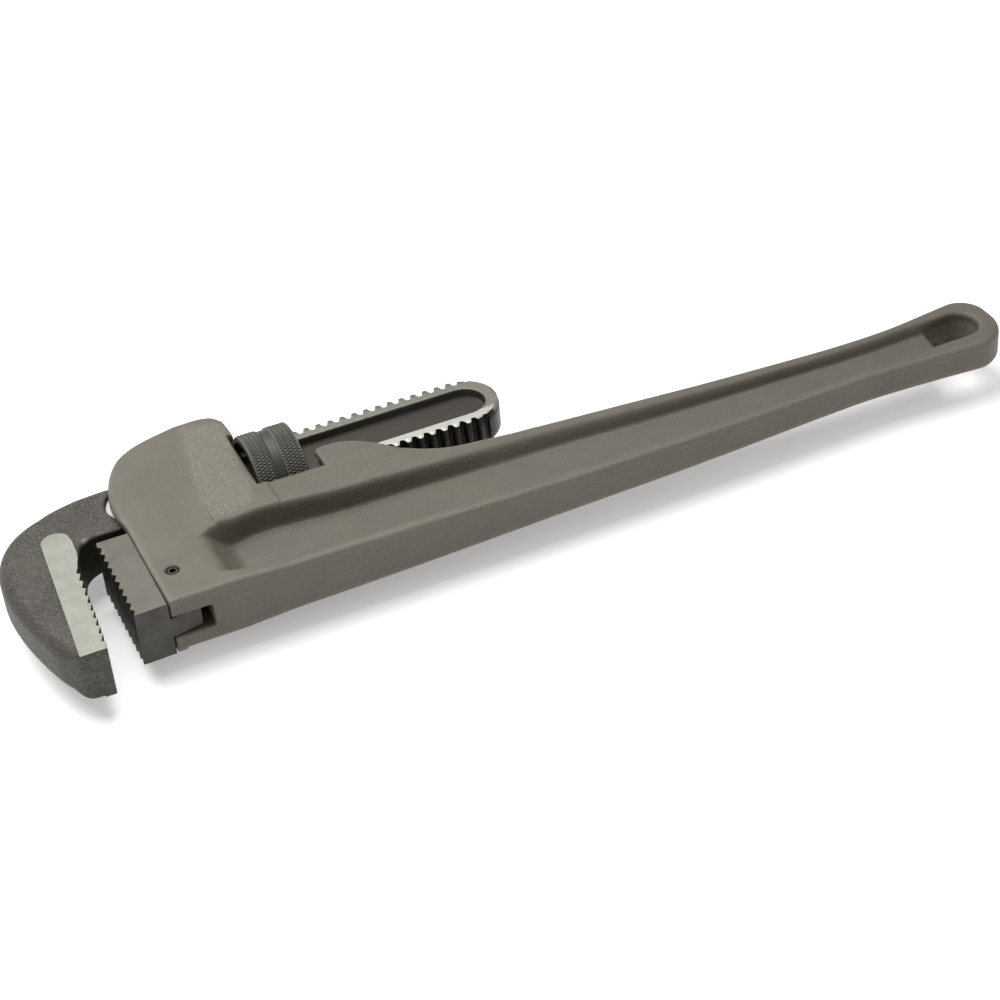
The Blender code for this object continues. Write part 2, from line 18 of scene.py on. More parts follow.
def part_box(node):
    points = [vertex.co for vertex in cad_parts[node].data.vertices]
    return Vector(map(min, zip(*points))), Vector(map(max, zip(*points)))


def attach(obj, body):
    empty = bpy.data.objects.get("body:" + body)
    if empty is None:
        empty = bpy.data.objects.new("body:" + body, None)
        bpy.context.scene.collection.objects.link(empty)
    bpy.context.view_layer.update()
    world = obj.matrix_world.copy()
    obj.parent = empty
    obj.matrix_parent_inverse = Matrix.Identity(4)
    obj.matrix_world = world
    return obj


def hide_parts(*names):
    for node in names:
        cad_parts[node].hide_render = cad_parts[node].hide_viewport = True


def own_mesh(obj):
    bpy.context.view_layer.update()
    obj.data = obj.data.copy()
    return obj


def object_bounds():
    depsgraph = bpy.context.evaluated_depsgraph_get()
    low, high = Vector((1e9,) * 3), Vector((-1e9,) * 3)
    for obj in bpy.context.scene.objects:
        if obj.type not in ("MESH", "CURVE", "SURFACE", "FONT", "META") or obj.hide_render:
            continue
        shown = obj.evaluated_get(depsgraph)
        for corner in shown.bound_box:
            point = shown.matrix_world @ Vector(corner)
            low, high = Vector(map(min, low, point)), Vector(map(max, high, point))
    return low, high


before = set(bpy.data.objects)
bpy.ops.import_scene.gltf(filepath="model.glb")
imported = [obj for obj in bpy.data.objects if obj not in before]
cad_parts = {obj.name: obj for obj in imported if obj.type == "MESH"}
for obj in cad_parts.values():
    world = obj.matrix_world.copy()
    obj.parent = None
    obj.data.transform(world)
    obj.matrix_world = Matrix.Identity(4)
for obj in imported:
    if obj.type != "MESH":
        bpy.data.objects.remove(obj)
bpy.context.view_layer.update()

MM = 0.001
MERGE_DISTANCE = 1e-6
AXIS_Y = 76.55
NUT_X1 = 94.0

nut_low, nut_high = (Vector(corner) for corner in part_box("adjusting_nut"))
nut_middle = (nut_low + nut_high) / 2
ORIGIN = Vector((nut_high.x - NUT_X1 * MM, nut_middle.y - AXIS_Y * MM, nut_middle.z))


def place(x, y, z):
    """A point of the drawing in the row frame."""
    return ORIGIN + Vector((x, y, z)) * MM


# Mesh objects


def add_object(name, mesh, finish):
    mesh.materials.append(finish)
    obj = bpy.data.objects.new(name, mesh)
    bpy.context.scene.collection.objects.link(obj)
    return obj


def new_mesh(name, verts, faces, finish, sharp_degrees=None):
    """An object from an array of points in millimetres and its faces."""
    points = np.asarray(verts, float) * MM + np.array(ORIGIN)
    mesh = bpy.data.meshes.new(name)
    mesh.from_pydata(points.tolist(), [], [tuple(int(i) for i in f) for f in faces])
    mesh.validate()
    mesh.shade_smooth()
    if sharp_degrees:
        mesh.set_sharp_from_angle(angle=math.radians(sharp_degrees))
    return add_object(name, mesh, finish)


def grid_mesh(name, rows, finish, sharp_degrees, caps=True):
    """A mesh over an array of points, rows x columns x 3, whose columns close into a ring."""
    count, around = rows.shape[:2]
    here = np.arange(count * around).reshape(count, around)
    ahead = np.roll(here, -1, axis=1)
    quads = np.stack([here[:-1], here[1:], ahead[1:], ahead[:-1]], axis=-1).reshape(-1, 4)
    faces = quads.tolist()
    if caps:
        faces += [here[0].tolist(), here[-1][::-1].tolist()]
    obj = new_mesh(name, rows.reshape(-1, 3), faces, finish, sharp_degrees)
    face_outwards(obj)
    return obj


def face_outwards(obj, merge=False):
    """Turns every face outwards, once points that coincide are merged if that is asked for."""
    bm = bmesh.new()
    bm.from_mesh(obj.data)
    if merge:
        bmesh.ops.remove_doubles(bm, verts=bm.verts, dist=MERGE_DISTANCE)
    bmesh.ops.recalc_face_normals(bm, faces=bm.faces)
    bm.to_mesh(obj.data)
    bm.free()


# Distance fields


def arc(cx, cy, radius, start, end, steps):
    angles = np.radians(np.linspace(start, end, steps + 1))
    return [(cx + radius * math.cos(a), cy + radius * math.sin(a)) for a in angles]


def between_points(a, b, c, d, t):
    """The point at t, from 0 to 1, of the smooth curve from b to c, with a before it and d after."""
    square = 2 * a - 5 * b + 4 * c - d
    cube = 3 * b - a - 3 * c + d
    return 0.5 * (2 * b + (c - a) * t + square * t**2 + cube * t**3)


def flowing(points, per_span=6):
    """A smooth open line through the points."""
    pts = np.array(points, float)
    pts = np.vstack([2 * pts[0] - pts[1], pts, 2 * pts[-1] - pts[-2]])
    spans = zip(pts, pts[1:], pts[2:], pts[3:])
    line = [between_points(*span, t) for span in spans for t in np.arange(per_span) / per_span]
    return [tuple(p) for p in [*line, pts[-2]]]


def outline_distance(outline, x, y):
    """Signed distance from each (x, y) to a closed outline, negative inside."""
    best = np.full(np.broadcast(x, y).shape, 1e9)
    inside = np.zeros(best.shape, bool)
    ring = list(outline) + [outline[0]]
    for (x0, y0), (x1, y1) in zip(ring, ring[1:]):
        dx, dy = x1 - x0, y1 - y0
        length = dx * dx + dy * dy
        if length < 1e-12:
            continue
        t = np.clip(((x - x0) * dx + (y - y0) * dy) / length, 0, 1)
        best = np.minimum(best, (x - x0 - t * dx) ** 2 + (y - y0 - t * dy) ** 2)
        if dy:
            crosses = ((y0 > y) != (y1 > y)) & (x < x0 + (y - y0) * dx / dy)
            inside ^= crosses
    return np.where(inside, -1, 1) * np.sqrt(best)


def ramp(value, low, high):
    return np.clip((value - low) / (high - low), 0, 1)


def soft_ramp(value, low, high):
    t = ramp(value, low, high)
    return t * t * (3 - 2 * t)


def profile(value, pairs):
    """Reads a value from (place, value) pairs, straight between them."""
    places, values = zip(*pairs)
    return np.interp(value, places, values)


def rounded_both(a, b, radius):
    """Where both fields are negative, with a rounded edge between them."""
    qa, qb = a + radius, b + radius
    return np.minimum(np.maximum(qa, qb), 0) + np.hypot(np.maximum(qa, 0), np.maximum(qb, 0)) - radius


def soft_max(a, b, width):
    """The greater field, with a fillet of about the width where they meet."""
    h = np.maximum(width - np.abs(a - b), 0) / width
    return np.maximum(a, b) + h * h * width / 4


def taken_from(field, cutter, width):
    return soft_max(field, -cutter, width)


def box_field(x, y, z, low, high, radius=0.0):
    middle = [(a + b) / 2 for a, b in zip(low, high)]
    half = [(b - a) / 2 - radius for a, b in zip(low, high)]
    q = [np.abs(v - m) - h for v, m, h in zip((x, y, z), middle, half)]
    outside = np.sqrt(sum(np.maximum(v, 0) ** 2 for v in q))
    return outside + np.minimum(np.maximum(np.maximum(q[0], q[1]), q[2]), 0) - radius


def slab_height(height, z, step):
    """Distance to the two faces of a plate with a height map, corrected for its slope."""
    gx, gy = np.gradient(height, step)
    slope = np.sqrt(1 + gx * gx + gy * gy)
    return (np.abs(z) - height[:, :, None]) / slope[:, :, None]


class Grid:
    """Points of a box on a regular grid."""

    def __init__(self, low, high, step):
        axes = [np.arange(a, b + step, step) for a, b in zip(low, high)]
        self.low, self.step = np.array(low, float), step
        self.x, self.y = np.meshgrid(axes[0], axes[1], indexing="ij")
        self.x3, self.y3 = self.x[:, :, None], self.y[:, :, None]
        self.z = axes[2][None, None, :]


CORNERS = [(i, j, k) for i in (0, 1) for j in (0, 1) for k in (0, 1)]


def surface(field, low, step):
    """Surface nets: (points, quads) of where the field is zero."""
    field = np.where(np.abs(field) < 1e-6, 1e-6, field)
    inside = field < 0
    nx, ny, nz = (n - 1 for n in field.shape)
    count = sum(inside[i : nx + i, j : ny + j, k : nz + k].astype(np.int8) for i, j, k in CORNERS)
    cells = np.argwhere((count > 0) & (count < 8))
    number = np.full((nx, ny, nz), -1, np.int64)
    number[tuple(cells.T)] = np.arange(len(cells))
    return low + step * (cells + crossing_middles(field, cells)), net_quads(inside, number)


def crossing_middles(field, cells):
    """For each cell, the middle of the points where the surface crosses the cell's edges."""
    total, hits = np.zeros((len(cells), 3)), np.zeros(len(cells))
    for a in CORNERS:
        for axis in range(3):
            if a[axis]:
                continue
            b = list(a)
            b[axis] = 1
            fa = field[tuple((cells + a).T)]
            fb = field[tuple((cells + b).T)]
            cross = (fa < 0) != (fb < 0)
            point = np.array(a, float)[None, :].repeat(len(cells), 0)
            point[:, axis] = np.where(cross, fa / np.where(cross, fa - fb, 1), 0)
            total += point * cross[:, None]
            hits += cross
    return total / hits[:, None]


def net_quads(inside, number):
    """A quad for each grid edge with one end inside, between the four cells round the edge."""
    quads = []
    for axis in range(3):
        u, v = (axis + 1) % 3, (axis + 2) % 3
        first = [slice(None)] * 3
        second = [slice(None)] * 3
        first[axis], second[axis] = slice(0, -1), slice(1, None)
        a, b = inside[tuple(first)], inside[tuple(second)]
        for state, flip in ((a & ~b, False), (~a & b, True)):
            at = np.argwhere(state)
            at = at[(at[:, u] > 0) & (at[:, v] > 0)]
            around = []
            for du, dv in ((-1, -1), (0, -1), (0, 0), (-1, 0)):
                cell = at.copy()
                cell[:, u] += du
                cell[:, v] += dv
                around.append(number[tuple(cell.T)])
            quad = np.stack(around, axis=1)
            quads.append(quad[:, ::-1] if flip else quad)
    return np.concatenate(quads)


# Materials


def new_material(name):
    made = bpy.data.materials.new(name)
    made.use_nodes = True
    tree = made.node_tree
    return made, tree, tree.nodes["Principled BSDF"]


def wire(tree, source, target):
    tree.links.new(source, target)


def position(tree, scale=(1, 1, 1)):
    """The point in the row frame, in millimetres, stretched by the scale."""
    coords = tree.nodes.new("ShaderNodeTexCoord")
    mapping = tree.nodes.new("ShaderNodeMapping")
    mapping.inputs["Scale"].default_value = [1000 * s for s in scale]
    wire(tree, coords.outputs["Object"], mapping.inputs["Vector"])
    return mapping.outputs["Vector"]


def noise(tree, vector, scale, detail=3.0, roughness=0.55):
    node = tree.nodes.new("ShaderNodeTexNoise")
    node.inputs["Scale"].default_value = scale
    node.inputs["Detail"].default_value = detail
    node.inputs["Roughness"].default_value = roughness
    wire(tree, vector, node.inputs["Vector"])
    return node.outputs["Fac"]


def between(tree, value, low, high, out_low=0.0, out_high=1.0):
    node = tree.nodes.new("ShaderNodeMapRange")
    node.interpolation_type = "SMOOTHSTEP"
    for name, number in (("From Min", low), ("From Max", high), ("To Min", out_low), ("To Max", out_high)):
        node.inputs[name].default_value = number
    wire(tree, value, node.inputs["Value"])
    return node.outputs["Result"]


def maths(tree, operation, a, b):
    node = tree.nodes.new("ShaderNodeMath")
    node.operation = operation
    for socket, value in zip(node.inputs, (a, b)):
        if isinstance(value, (int, float)):
            socket.default_value = value
        else:
            wire(tree, value, socket)
    return node.outputs["Value"]


def mix(tree, share, a, b):
    """A colour between a and b, each a colour or a socket."""
    node = tree.nodes.new("ShaderNodeMix")
    node.data_type = "RGBA"
    for socket, value in ((node.inputs[0], share), (node.inputs[6], a), (node.inputs[7], b)):
        if isinstance(value, (int, float)):
            socket.default_value = value
        elif isinstance(value, tuple):
            socket.default_value = (*value, 1.0)
        else:
            wire(tree, value, socket)
    return node.outputs[2]


def bump(tree, height, distance_mm, strength=1.0, under=None):
    node = tree.nodes.new("ShaderNodeBump")
    node.inputs["Distance"].default_value = distance_mm * MM
    node.inputs["Strength"].default_value = strength
    wire(tree, height, node.inputs["Height"])
    if under is not None:
        wire(tree, under, node.inputs["Normal"])
    return node.outputs["Normal"]


def attribute(tree, name):
    node = tree.nodes.new("ShaderNodeAttribute")
    node.attribute_name = name
    return node.outputs["Fac"]


def set_attribute(obj, name, values):
    layer = obj.data.attributes.new(name, "FLOAT", "POINT")
    layer.data.foreach_set("value", np.asarray(values, np.float32))


def cast_aluminium():
    """Grey sand-cast aluminium: fine grain and dull patches, with a painted highlight along the outer
    edges, painted shade on the hollow's walls, and a band beside the window painted lighter, partly for its
    rougher grain and partly as painted light.
    """
    made, tree, shader = new_material("cast_aluminium_grain")
    at = position(tree)
    grain = noise(tree, at, 1.15, 4.0, 0.65)
    pits = noise(tree, at, 2.6, 2.0, 0.6)
    patches = noise(tree, at, 0.045, 4.0, 0.6)
    tone = mix(tree, between(tree, patches, 0.30, 0.72), CAST_DARK, CAST_LIGHT)
    # The band beside the window is painted lighter: partly its rougher grain, partly painted light.
    facet_grain_and_light = maths(tree, "MULTIPLY", attribute(tree, "facet"), between(tree, pits, 0.42, 0.60))
    tone = mix(tree, facet_grain_and_light, tone, CAST_SPARK)
    # Painted shade on the hollow's walls and floor.
    tone = mix(tree, maths(tree, "MULTIPLY", attribute(tree, "painted_shade"), 0.6), tone, CAST_SHADE)
    tone = mix(tree, between(tree, grain, 0.60, 0.40, 0.0, 0.40), tone, CAST_PIT)
    tone = mix(tree, between(tree, pits, 0.60, 0.74, 0.0, 0.45), tone, CAST_SPARK)
    # Painted highlight along the outer edges.
    tone = mix(tree, maths(tree, "MULTIPLY", attribute(tree, "painted_highlight"), 0.55), tone, CAST_HIGHLIGHT)
    wire(tree, tone, shader.inputs["Base Color"])
    shader.inputs["Metallic"].default_value = 0.3
    wire(tree, between(tree, grain, 0.3, 0.7, 0.50, 0.68), shader.inputs["Roughness"])
    fine = bump(tree, pits, 0.25, 0.5)
    wire(tree, bump(tree, grain, 0.45, 0.6, fine), shader.inputs["Normal"])
    return made


def forged_steel():
    """Dark forged skin with a speckle of lighter metal, a painted highlight spot at the throat's corner,
    and painted shade on the throat's wall.
    """
    made, tree, shader = new_material("forged_steel_skin")
    at = position(tree)
    grain = noise(tree, at, 1.6, 4.0, 0.7)
    speckle = noise(tree, at, 1.0, 4.0, 0.75)
    patches = noise(tree, at, 0.06, 3.0, 0.6)
    tone = mix(tree, between(tree, patches, 0.3, 0.7), FORGED_DARK, FORGED_LIGHT)
    tone = mix(tree, between(tree, speckle, 0.42, 0.72, 0.0, 0.8), tone, FORGED_SPARK)
    # A painted highlight spot at the throat's corner.
    tone = mix(tree, maths(tree, "MULTIPLY", attribute(tree, "painted_highlight"), 0.9), tone, FORGED_HIGHLIGHT)
    # Painted shade on the throat's wall.
    tone = mix(tree, maths(tree, "MULTIPLY", attribute(tree, "painted_shade"), 0.85), tone, ROOT_AND_SHADE_TONE)
    wire(tree, tone, shader.inputs["Base Color"])
    shader.inputs["Metallic"].default_value = 0.2
    shader.inputs["Specular IOR Level"].default_value = 0.3
    wire(tree, between(tree, grain, 0.3, 0.7, 0.52, 0.70), shader.inputs["Roughness"])
    fine = bump(tree, speckle, 0.12, 0.5)
    wire(tree, bump(tree, grain, 0.3, 0.5, fine), shader.inputs["Normal"])
    return made


def ground_steel(name, light, dark, along=(1, 0.06, 1), metallic=0.5, rough=(0.42, 0.58)):
    """Ground or brushed steel: fine scratches along one direction, and faint stains."""
    made, tree, shader = new_material(name)
    scratches = noise(tree, position(tree, along), 4.0, 3.0, 0.6)
    stains = noise(tree, position(tree), 0.12, 4.0, 0.65)
    specks = noise(tree, position(tree), 1.8, 3.0, 0.7)
    tone = mix(tree, between(tree, stains, 0.30, 0.78), light, dark)
    tone = mix(tree, between(tree, scratches, 0.45, 0.75, 0.0, 0.35), tone, dark)
    tone = mix(tree, between(tree, specks, 0.64, 0.78, 0.0, 0.3), tone, tuple(c * 0.5 for c in dark))
    wire(tree, tone, shader.inputs["Base Color"])
    shader.inputs["Metallic"].default_value = metallic
    wire(tree, between(tree, scratches, 0.3, 0.7, *rough), shader.inputs["Roughness"])
    wire(tree, bump(tree, scratches, 0.06, 0.4), shader.inputs["Normal"])
    return made


def shank_steel():
    """The shank: ground rails, a dark sunk panel, dark thread with darker roots, painted shade on the
    panel's upper wall and inside the housing and nut, and a polished seat by the neck and lower rail past
    the nut, painted brighter than the rails as a painted sheen.
    """
    made, tree, shader = new_material("shank_steel")
    scratches = noise(tree, position(tree, (0.1, 1, 1)), 4.0, 3.0, 0.6)
    stains = noise(tree, position(tree), 0.5, 3.0, 0.6)
    # Polished seat and lower rail, painted bright as a painted sheen on the polish.
    tone = mix(tree, attribute(tree, "polish_and_sheen"), SHANK_RAIL, SHANK_POLISH_SHEEN)
    tone = mix(tree, between(tree, scratches, 0.45, 0.75, 0.0, 0.3), tone, SHANK_PANEL)
    tone = mix(tree, attribute(tree, "sunk"), tone, SHANK_PANEL)
    tone = mix(tree, between(tree, stains, 0.55, 0.75, 0.0, 0.3), tone, SHANK_PANEL)
    # Dark thread, with painted shade on the panel's upper wall and inside the housing and nut.
    tone = mix(tree, attribute(tree, "edge"), tone, THREAD_AND_SHADE_TONE)
    # Darkest in the thread's roots, with painted shade where the shank goes into the nut.
    groove = maths(tree, "MULTIPLY", attribute(tree, "groove"), attribute(tree, "edge"))
    tone = mix(tree, groove, tone, ROOT_AND_SHADE_TONE)
    wire(tree, tone, shader.inputs["Base Color"])
    shader.inputs["Metallic"].default_value = 0.5
    wire(tree, between(tree, scratches, 0.3, 0.7, 0.40, 0.55), shader.inputs["Roughness"])
    wire(tree, bump(tree, scratches, 0.06, 0.4), shader.inputs["Normal"])
    return made


def nut_steel():
    """Dark steel, with a painted highlight on the knurl's points and the rims."""
    made, tree, shader = new_material("nut_steel")
    at = position(tree)
    grain = noise(tree, at, 1.5, 3.0, 0.6)
    knurl_highlight = attribute(tree, "knurl_highlight")
    tone = mix(tree, between(tree, grain, 0.35, 0.7), NUT_DARK, NUT_MID)
    # Painted highlight on the knurl's points and rims.
    tone = mix(tree, between(tree, knurl_highlight, 0.45, 0.95, 0.0, 0.85), tone, NUT_HIGHLIGHT)
    wire(tree, tone, shader.inputs["Base Color"])
    shader.inputs["Metallic"].default_value = 0.5
    wire(tree, between(tree, grain, 0.3, 0.7, 0.42, 0.58), shader.inputs["Roughness"])
    wire(tree, bump(tree, grain, 0.1, 0.4), shader.inputs["Normal"])
    return made


CAST_DARK = (0.115, 0.102, 0.081)
CAST_LIGHT = (0.133, 0.119, 0.094)
CAST_PIT = (0.066, 0.058, 0.046)
CAST_SPARK = (0.233, 0.215, 0.178)
# Tone of the painted highlight along the handle's outer edges.
CAST_HIGHLIGHT = (0.178, 0.165, 0.138)
# Tone of the painted shade in the handle's hollow.
CAST_SHADE = (0.030, 0.026, 0.018)
FORGED_DARK = (0.034, 0.031, 0.025)
FORGED_LIGHT = (0.055, 0.050, 0.042)
FORGED_SPARK = (0.125, 0.116, 0.10)
# Tone of the painted highlight spot on the hook's throat.
FORGED_HIGHLIGHT = (0.20, 0.19, 0.165)
GROUND_LIGHT = (0.235, 0.24, 0.205)
GROUND_DARK = (0.19, 0.192, 0.162)
HEEL_LIGHT = (0.103, 0.093, 0.076)
HEEL_DARK = (0.080, 0.072, 0.060)
HEEL_END = (0.038, 0.033, 0.026)
SHANK_RAIL = (0.165, 0.160, 0.132)
# Tone of the polish with its painted sheen.
SHANK_POLISH_SHEEN = (0.46, 0.46, 0.42)
SHANK_PANEL = (0.031, 0.027, 0.020)
# Tone of the dark thread, and of the painted shade on the panel's wall and inside the housing and nut.
THREAD_AND_SHADE_TONE = (0.040, 0.037, 0.030)
# Darkest tone: the thread's roots, and painted shade in the nut's bore and on the hook's throat wall.
ROOT_AND_SHADE_TONE = (0.010, 0.010, 0.008)
NUT_DARK = (0.040, 0.037, 0.031)
NUT_MID = (0.060, 0.056, 0.048)
# Tone of the painted highlight on the knurl.
NUT_HIGHLIGHT = (0.19, 0.178, 0.15)
TEETH_TONE = (0.10, 0.095, 0.085)
SPRING_TONE = (0.18, 0.175, 0.165)


# Handle casting

SEAM_X = 13.8
WINDOW_X0, WINDOW_X1 = 71.0, 100.3
WEB_HALF = 2.8
LOWER_DRAUGHT = 3.0
WINDOW_TOP_Y = 98.3
WINDOW_R = 21.75
CHANNEL_HALF, CHANNEL_END_X = 7.95, 150
PIN_X, PIN_Y, PIN_R, PIN_BORE, PIN_STEPS = 21.7, 20.1, 2.4, 1.45, 40
RIVET_X = 60.5
COIL_X = 34.0
# Low and high corners of the mouth for the neck, the slot for the heel jaw's tongue, and the
# thicker metal round the hang hole on the underside.
NECK_MOUTH = (0, 56.8, -10.4), (24.5, 96.9, 10.4)
TONGUE_SLOT = (5, -9, -4.95), (30.6, 38.5, 4.95)
HOLE_BOSS = (363, 6.5, -7.0), (396, 33.5, 0.0)
HOLE_TAPER, HOLE_TOP_Z = 0.26, 7.2


def handle_outline():
    bottom = [(SEAM_X, 0.6), (66, 0.3), (130, 0.1), (200, 0.4)]
    bottom += [(260, 1.5), (300, 3.2), (330, 4.2), (352, 3.4)]
    tail = arc(384.4, 19.6, 18.5, -80, 0, 14) + arc(390.6, 25.5, 12.3, 5, 86, 10)
    top = [(376, 36.2), (356, 34.4), (330, 34.2), (300, 35.7)]
    top += [(260, 38.0), (200, 42.6), (168, 45.1), (154, 46.6)]
    hump = [(145, 49.4), (135.4, 55.0), (127.7, 63.0), (120, 69.3), (112.5, 72.4), (105.5, 73.0)]
    nose = [(11.8, 70), (12.2, 76), (13.3, 82), (15.7, 90)]
    nose += [(18.9, 97.3), (24.0, 104.5), (32, 109.8), (42, 113.2)]
    crown = [(54, 115.9), (62, 117.0), (68.9, 116.4), (73.0, 112.9), (73.9, 106), (74.0, 98)]
    line = flowing(bottom) + tail + flowing(top + hump)
    line += arc(WINDOW_X1 + 3.6, 68.4, 4.6, 105, 180, 8) + [(96, 62), (74.6, 62)]
    return line + list(reversed(flowing(nose + crown))) + [(12.0, 62), (13.2, 54)]


def pocket_outline():
    """Rim of the hollow beside the web. Its front end lies where the hollow has run out."""
    low = [(35, 13.0), (41.5, 9.4), (51, 7.4), (79, 6.2), (121, 6.0)]
    low += [(183, 7.0), (250, 8.0), (330, 10.0), (364, 10.6)]
    high = [(365, 29.2), (330, 28.2), (260, 31.0), (196, 35.8), (165, 37.2), (141, 37.6)]
    high += [(118, 38.4), (98, 39.0), (80, 41.0), (63, 42.0), (46, 38.6), (38, 35.0)]
    end = arc(385.0, 20.2, 8.6, -80, 80, 14)
    return flowing(low) + end + flowing(high) + [(34.0, 32.0), (33.2, 24.0), (33.4, 17.0)]


def hole_outline():
    return [(369.0, 11.2), (384, 10.6)] + arc(385.4, 20.1, 9.5, -80, 84, 14) + [(371.3, 28.0)]


# Half the handle's thickness along X, and half the thickness of the upper flange.
HANDLE_HALF = [(0, 12.65), (42, 12.6), (66, 11.15), (90, 10.85), (118, 10.2), (150, 9.35)]
HANDLE_HALF += [(180, 8.5), (200, 8.2), (230, 7.9), (260, 7.35), (300, 6.8), (330, 6.65)]
HANDLE_HALF += [(350, 6.6), (370, 6.75), (385, 7.1), (402, 7.25)]
FLANGE_HALF = [(WINDOW_X0, 11.9), (112, 11.2), (150, 9.6), (180, 8.5)]
HOUSING_HALF, FACET_DROP = 14.6, 2.4
# X of the two edges of the sloping band beside the window, along Y.
FACET_START = [(36, 47.1), (46, 45.6), (68, 46.8), (85, 48.8), (106, 53.0)]
FACET_END = [(36, 50), (43, 56), (48, 65.7), (64, 68.9), (83, 69.8), (105, 71.7)]
# Slope of the hollow's upper wall along X.
UPPER_DRAUGHT = [(60, 2.1), (98, 1.9), (130, 1.7), (170, 1.1), (235, 1.2), (300, 1.5), (345, 1.3)]


def face_height(x, y):
    """Half the casting's thickness before the hollows: full at the housing, thin at the tail."""
    low = profile(x, HANDLE_HALF)
    housing = HOUSING_HALF - FACET_DROP * ramp(x, profile(y, FACET_START), profile(y, FACET_END))
    flange = profile(x, FLANGE_HALF)
    high = np.where(x < WINDOW_X0 + 4, housing, flange)
    high = np.where(x < 190, np.maximum(high, low), low)
    share = soft_ramp(y, 24, 66) * (x < 190)
    near_flange = np.where((x > 46) & (x < 190), soft_ramp(y, 30, 46), share)
    return low + (high - low) * np.maximum(share, near_flange)


def handle_height(x, y):
    """The face with its hollow: a floor that dips from the head down to the web, and draughted walls."""
    face = face_height(x, y)
    inward = -outline_distance(pocket_outline(), x, y)
    wall = face - np.where(y > 22, profile(x, UPPER_DRAUGHT), LOWER_DRAUGHT) * inward
    hollow = -soft_max(-soft_max(wall, hollow_floor(x, face), 0.8), -face, 3.0)
    return face - (face - hollow) * soft_ramp(x, 33.5, 44.0)


def hollow_floor(x, face):
    return face - (face - WEB_HALF) * soft_ramp(x, 36.5, 52.0)


def edge_radius(x, y):
    """How round the casting's outer edges are, from place to place."""
    radius = np.full(x.shape, 2.6)
    housing = soft_ramp(y, 62, 80) * (x < WINDOW_X0 + 2)
    radius = radius + (4.6 - 1.2 * soft_ramp(x, 54, 68) - radius) * housing
    radius = np.where((x > WINDOW_X1 - 6) & (y > 54) & (x < 150), 3.2, radius)
    return np.where((x < SEAM_X + 4) & (y < 62), 0.9, radius)


def handle_field(grid):
    x, y, z = grid.x3, grid.y3, grid.z
    side = outline_distance(handle_outline(), grid.x, grid.y)[:, :, None]
    height = handle_height(grid.x, grid.y)
    field = rounded_both(side, slab_height(height, z, grid.step), edge_radius(grid.x, grid.y)[:, :, None])
    field = taken_from(field, window_field(x, y, z), 0.7)
    field = taken_from(field, channel_field(x, y, z), 0.9)
    field = taken_from(field, box_field(x, y, z, *NECK_MOUTH, 1.2), 1.2)
    field = taken_from(field, box_field(x, y, z, *TONGUE_SLOT, 0.3), 0.35)
    field = np.minimum(field, box_field(x, y, z, *HOLE_BOSS, 1.5))
    hole = outline_distance(hole_outline(), grid.x, grid.y)[:, :, None]
    field = taken_from(field, hole + HOLE_TAPER * (HOLE_TOP_Z - z), 1.4)
    pin = np.hypot(x - PIN_X, y - PIN_Y) - PIN_R - 0.3
    field = taken_from(field, pin + 0 * z, 0.6)
    coil_pocket = np.maximum(np.hypot(x - COIL_X, z) - 6.4, np.maximum(41.0 - y, y - 66))
    field = taken_from(field, coil_pocket, 0.6)
    rivet_bore = np.maximum(np.hypot(x - RIVET_X, z) - 2.35, 90 - y)
    rivet_seat = np.maximum(np.hypot(x - RIVET_X, z) - 4.5, 116.0 - y)
    return taken_from(field, np.minimum(rivet_bore, rivet_seat), 0.5)


def window_field(x, y, z):
    """The nut's window: round below the shank's axis, and straight up to the roof."""
    across = np.where(y > AXIS_Y, np.abs(z), np.hypot(y - AXIS_Y, z)) - WINDOW_R
    ends = np.maximum(WINDOW_X0 - x, x - WINDOW_X1)
    return np.maximum(np.maximum(across, ends), y - WINDOW_TOP_Y)


def channel_field(x, y, z):
    """The shank's way through the housing and the fork. Its floor peaks where the jaw rocks."""
    floor_y = profile(x, [(8, 57.2), (68, 59.7), (CHANNEL_END_X, 57.5)])
    roof_y = np.where(x < 67, 98.4, 94.0)
    channel = np.maximum(np.abs(z) - CHANNEL_HALF, np.maximum(floor_y - y, y - roof_y))
    return np.maximum(channel, x - CHANNEL_END_X)


def make_handle(finish):
    grid = Grid((8, -3, -17.4), (405, 121, 17.4), HANDLE_STEP)
    points, quads = surface(handle_field(grid), grid.low, grid.step)
    handle = new_mesh("handle_body", points, quads, finish)
    # Painted highlight along the outer edges.
    set_attribute(handle, "painted_highlight", edge_highlight(points))
    # The band beside the window, painted lighter partly as painted light.
    set_attribute(handle, "facet", facet_share(points))
    # Painted shade on the hollow's walls and floor.
    set_attribute(handle, "painted_shade", hollow_wall_shade(points))
    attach(handle, "handle")
    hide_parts("handle_casting")


def edge_highlight(points):
    """Painted highlight: 1 along the outer edges, fading to 0 a few millimetres away."""
    x, y, z = points.T
    side = outline_distance(handle_outline(), x, y)
    height = face_height(x, y)
    near = np.hypot(side + 1.0, np.abs(z) - height + 1.0)
    return np.clip(1.3 - near / 1.9, 0, 1)


def hollow_wall_shade(points):
    """Painted shade: 1 on the walls of the hollow, and a little on its floor.

    It comes in further from the head along the lower wall than along the upper one.
    """
    x, y, z = points.T
    face = face_height(x, y)
    depth = ramp((face - np.abs(z)) / np.maximum(face - hollow_floor(x, face), 1.0), 0, 1)
    wall = np.clip(5 * depth * (1 - depth), 0, 1)
    inside = outline_distance(pocket_outline(), x, y) < 0.8
    lower = y < 24
    return inside * np.maximum(wall, 0.22 * depth) * soft_ramp(x, 38 + 14 * lower, 58 + 22 * lower)


